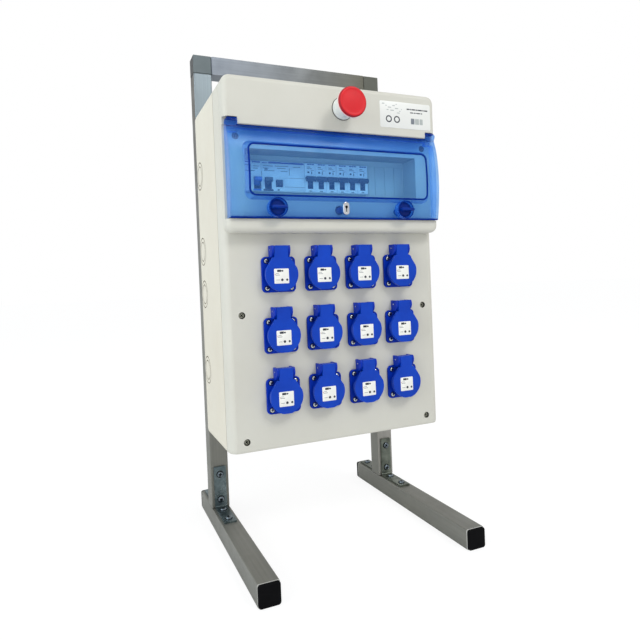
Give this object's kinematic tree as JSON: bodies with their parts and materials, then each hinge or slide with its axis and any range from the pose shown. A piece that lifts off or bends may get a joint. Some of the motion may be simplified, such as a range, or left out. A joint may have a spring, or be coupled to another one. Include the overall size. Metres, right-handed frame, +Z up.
{
  "type": "portable power distribution box",
  "caption": "Moulded power distribution enclosure on a square-tube floor stand, with a hinged window over rail devices, an emergency stop and lidded panel sockets.",
  "frame": {"origin": "on the floor, midway between the two feet and midway along them", "axes": "+Z up, -Y out of the socket panel (the front), +X to the right as seen from the front"},
  "size_m": [0.354, 0.36, 0.79],
  "materials": {
    "satin_steel_tube": "satin, drawn lengthways",
    "connector_grey": "matt grey",
    "black_plastic": "fine matt",
    "zinc_plate": "bright zinc plated",
    "box_cream": "fine matt",
    "cover_grey": "fine satin",
    "window_blue": "clear tinted, glossy",
    "latch_blue": "glossy",
    "chrome": "polished",
    "collar_silver": "satin",
    "stop_red": "satin",
    "rail_zinc": "zinc plated",
    "device_white": "satin",
    "toggle_black": "satin",
    "toggle_blue": "satin",
    "socket_blue": "satin"
  },
  "bodies": {
    "stand_and_box": {"upright_left": "satin_steel_tube", "corner_connector_left": "connector_grey", "foot_left": "satin_steel_tube", "end_cap_left_front": "black_plastic", "angle_bracket_left_front": "zinc_plate", "end_cap_left_rear": "black_plastic", "angle_bracket_left_rear": "zinc_plate", "upright_right": "satin_steel_tube", "corner_connector_right": "connector_grey", "foot_right": "satin_steel_tube", "end_cap_right_front": "black_plastic", "angle_bracket_right_front": "zinc_plate", "end_cap_right_rear": "black_plastic", "angle_bracket_right_rear": "zinc_plate", "top_crossbar": "satin_steel_tube", "rear_box": "box_cream", "front_cover": "cover_grey", "emergency_stop_body": "collar_silver", "din_rail": "rail_zinc", "main_switch": "device_white", "residual_current_device": "device_white", "breaker_bank": "device_white", "socket_base_r1c1": "socket_blue", "socket_base_r1c2": "socket_blue", "socket_base_r1c3": "socket_blue", "socket_base_r1c4": "socket_blue", "socket_base_r2c1": "socket_blue", "socket_base_r2c2": "socket_blue", "socket_base_r2c3": "socket_blue", "socket_base_r2c4": "socket_blue", "socket_base_r3c1": "socket_blue", "socket_base_r3c2": "socket_blue", "socket_base_r3c3": "socket_blue", "socket_base_r3c4": "socket_blue"},
    "window_door": {"window_door": "window_blue"},
    "latch_left": {"latch_left": "latch_blue"},
    "latch_right": {"latch_right": "latch_blue"},
    "door_lock": {"door_lock": "chrome"},
    "emergency_stop_head": {"emergency_stop_head": "stop_red"},
    "main_switch_toggle": {"main_switch_toggle": "toggle_blue"},
    "residual_current_toggle": {"residual_current_toggle": "toggle_black"},
    "test_button": {"test_button": "toggle_black"},
    "breaker_toggle_1": {"breaker_toggle_1": "toggle_black"},
    "breaker_toggle_2": {"breaker_toggle_2": "toggle_black"},
    "breaker_toggle_3": {"breaker_toggle_3": "toggle_black"},
    "breaker_toggle_4": {"breaker_toggle_4": "toggle_black"},
    "breaker_toggle_5": {"breaker_toggle_5": "toggle_black"},
    "breaker_toggle_6": {"breaker_toggle_6": "toggle_black"},
    "socket_lid_r1c1": {"socket_lid_r1c1": "socket_blue"},
    "socket_lid_r1c2": {"socket_lid_r1c2": "socket_blue"},
    "socket_lid_r1c3": {"socket_lid_r1c3": "socket_blue"},
    "socket_lid_r1c4": {"socket_lid_r1c4": "socket_blue"},
    "socket_lid_r2c1": {"socket_lid_r2c1": "socket_blue"},
    "socket_lid_r2c2": {"socket_lid_r2c2": "socket_blue"},
    "socket_lid_r2c3": {"socket_lid_r2c3": "socket_blue"},
    "socket_lid_r2c4": {"socket_lid_r2c4": "socket_blue"},
    "socket_lid_r3c1": {"socket_lid_r3c1": "socket_blue"},
    "socket_lid_r3c2": {"socket_lid_r3c2": "socket_blue"},
    "socket_lid_r3c3": {"socket_lid_r3c3": "socket_blue"},
    "socket_lid_r3c4": {"socket_lid_r3c4": "socket_blue"}
  },
  "joints": [
    {"name": "window_door_hinge", "type": "hinge", "parent": "stand_and_box", "child": "window_door", "pos_m": [0, -0.092, 0.629], "axis": [-1, 0, 0], "range_deg": [0, 70]},
    {"name": "latch_left_turn", "type": "hinge", "parent": "window_door", "child": "latch_left", "pos_m": [-0.1035, -0.105, 0.5095], "axis": [0, -1, 0], "range_deg": [0, 90]},
    {"name": "latch_right_turn", "type": "hinge", "parent": "window_door", "child": "latch_right", "pos_m": [0.1035, -0.105, 0.5095], "axis": [0, -1, 0], "range_deg": [0, 90]},
    {"name": "door_lock_turn", "type": "hinge", "parent": "window_door", "child": "door_lock", "pos_m": [0.003, -0.105, 0.51], "axis": [0, -1, 0], "range_deg": [0, 90]},
    {"name": "emergency_stop_press", "type": "slide", "parent": "stand_and_box", "child": "emergency_stop_head", "axis": [0, 1, 0], "range_m": [0, 0.004]},
    {"name": "main_switch_throw", "type": "hinge", "parent": "stand_and_box", "child": "main_switch_toggle", "pos_m": [0, -0.045, 0.556], "axis": [1, 0, 0], "range_deg": [0, 30]},
    {"name": "residual_current_throw", "type": "hinge", "parent": "stand_and_box", "child": "residual_current_toggle", "pos_m": [0, -0.045, 0.556], "axis": [1, 0, 0], "range_deg": [0, 30]},
    {"name": "test_button_press", "type": "slide", "parent": "stand_and_box", "child": "test_button", "axis": [0, 1, 0], "range_m": [0, 0.0015]},
    {"name": "breaker_1_throw", "type": "hinge", "parent": "stand_and_box", "child": "breaker_toggle_1", "pos_m": [-0.0303, -0.045, 0.556], "axis": [1, 0, 0], "range_deg": [0, 48]},
    {"name": "breaker_2_throw", "type": "hinge", "parent": "stand_and_box", "child": "breaker_toggle_2", "pos_m": [-0.0122, -0.045, 0.556], "axis": [1, 0, 0], "range_deg": [0, 48]},
    {"name": "breaker_3_throw", "type": "hinge", "parent": "stand_and_box", "child": "breaker_toggle_3", "pos_m": [0.0059, -0.045, 0.556], "axis": [1, 0, 0], "range_deg": [0, 48]},
    {"name": "breaker_4_throw", "type": "hinge", "parent": "stand_and_box", "child": "breaker_toggle_4", "pos_m": [0.024, -0.045, 0.556], "axis": [1, 0, 0], "range_deg": [0, 48]},
    {"name": "breaker_5_throw", "type": "hinge", "parent": "stand_and_box", "child": "breaker_toggle_5", "pos_m": [0.0421, -0.045, 0.556], "axis": [1, 0, 0], "range_deg": [0, 48]},
    {"name": "breaker_6_throw", "type": "hinge", "parent": "stand_and_box", "child": "breaker_toggle_6", "pos_m": [0.0602, -0.045, 0.556], "axis": [1, 0, 0], "range_deg": [0, 48]},
    {"name": "socket_lid_r1c1_hinge", "type": "hinge", "parent": "stand_and_box", "child": "socket_lid_r1c1", "pos_m": [-0.0951, -0.08, 0.452], "axis": [-1, 0, 0], "range_deg": [0, 100]},
    {"name": "socket_lid_r1c2_hinge", "type": "hinge", "parent": "stand_and_box", "child": "socket_lid_r1c2", "pos_m": [-0.0279, -0.08, 0.452], "axis": [-1, 0, 0], "range_deg": [0, 100]},
    {"name": "socket_lid_r1c3_hinge", "type": "hinge", "parent": "stand_and_box", "child": "socket_lid_r1c3", "pos_m": [0.0393, -0.08, 0.452], "axis": [-1, 0, 0], "range_deg": [0, 100]},
    {"name": "socket_lid_r1c4_hinge", "type": "hinge", "parent": "stand_and_box", "child": "socket_lid_r1c4", "pos_m": [0.1065, -0.08, 0.452], "axis": [-1, 0, 0], "range_deg": [0, 100]},
    {"name": "socket_lid_r2c1_hinge", "type": "hinge", "parent": "stand_and_box", "child": "socket_lid_r2c1", "pos_m": [-0.0951, -0.08, 0.3634], "axis": [-1, 0, 0], "range_deg": [0, 100]},
    {"name": "socket_lid_r2c2_hinge", "type": "hinge", "parent": "stand_and_box", "child": "socket_lid_r2c2", "pos_m": [-0.0279, -0.08, 0.3634], "axis": [-1, 0, 0], "range_deg": [0, 100]},
    {"name": "socket_lid_r2c3_hinge", "type": "hinge", "parent": "stand_and_box", "child": "socket_lid_r2c3", "pos_m": [0.0393, -0.08, 0.3634], "axis": [-1, 0, 0], "range_deg": [0, 100]},
    {"name": "socket_lid_r2c4_hinge", "type": "hinge", "parent": "stand_and_box", "child": "socket_lid_r2c4", "pos_m": [0.1065, -0.08, 0.3634], "axis": [-1, 0, 0], "range_deg": [0, 100]},
    {"name": "socket_lid_r3c1_hinge", "type": "hinge", "parent": "stand_and_box", "child": "socket_lid_r3c1", "pos_m": [-0.0951, -0.08, 0.2754], "axis": [-1, 0, 0], "range_deg": [0, 100]},
    {"name": "socket_lid_r3c2_hinge", "type": "hinge", "parent": "stand_and_box", "child": "socket_lid_r3c2", "pos_m": [-0.0279, -0.08, 0.2754], "axis": [-1, 0, 0], "range_deg": [0, 100]},
    {"name": "socket_lid_r3c3_hinge", "type": "hinge", "parent": "stand_and_box", "child": "socket_lid_r3c3", "pos_m": [0.0393, -0.08, 0.2754], "axis": [-1, 0, 0], "range_deg": [0, 100]},
    {"name": "socket_lid_r3c4_hinge", "type": "hinge", "parent": "stand_and_box", "child": "socket_lid_r3c4", "pos_m": [0.1065, -0.08, 0.2754], "axis": [-1, 0, 0], "range_deg": [0, 100]}
  ]
}
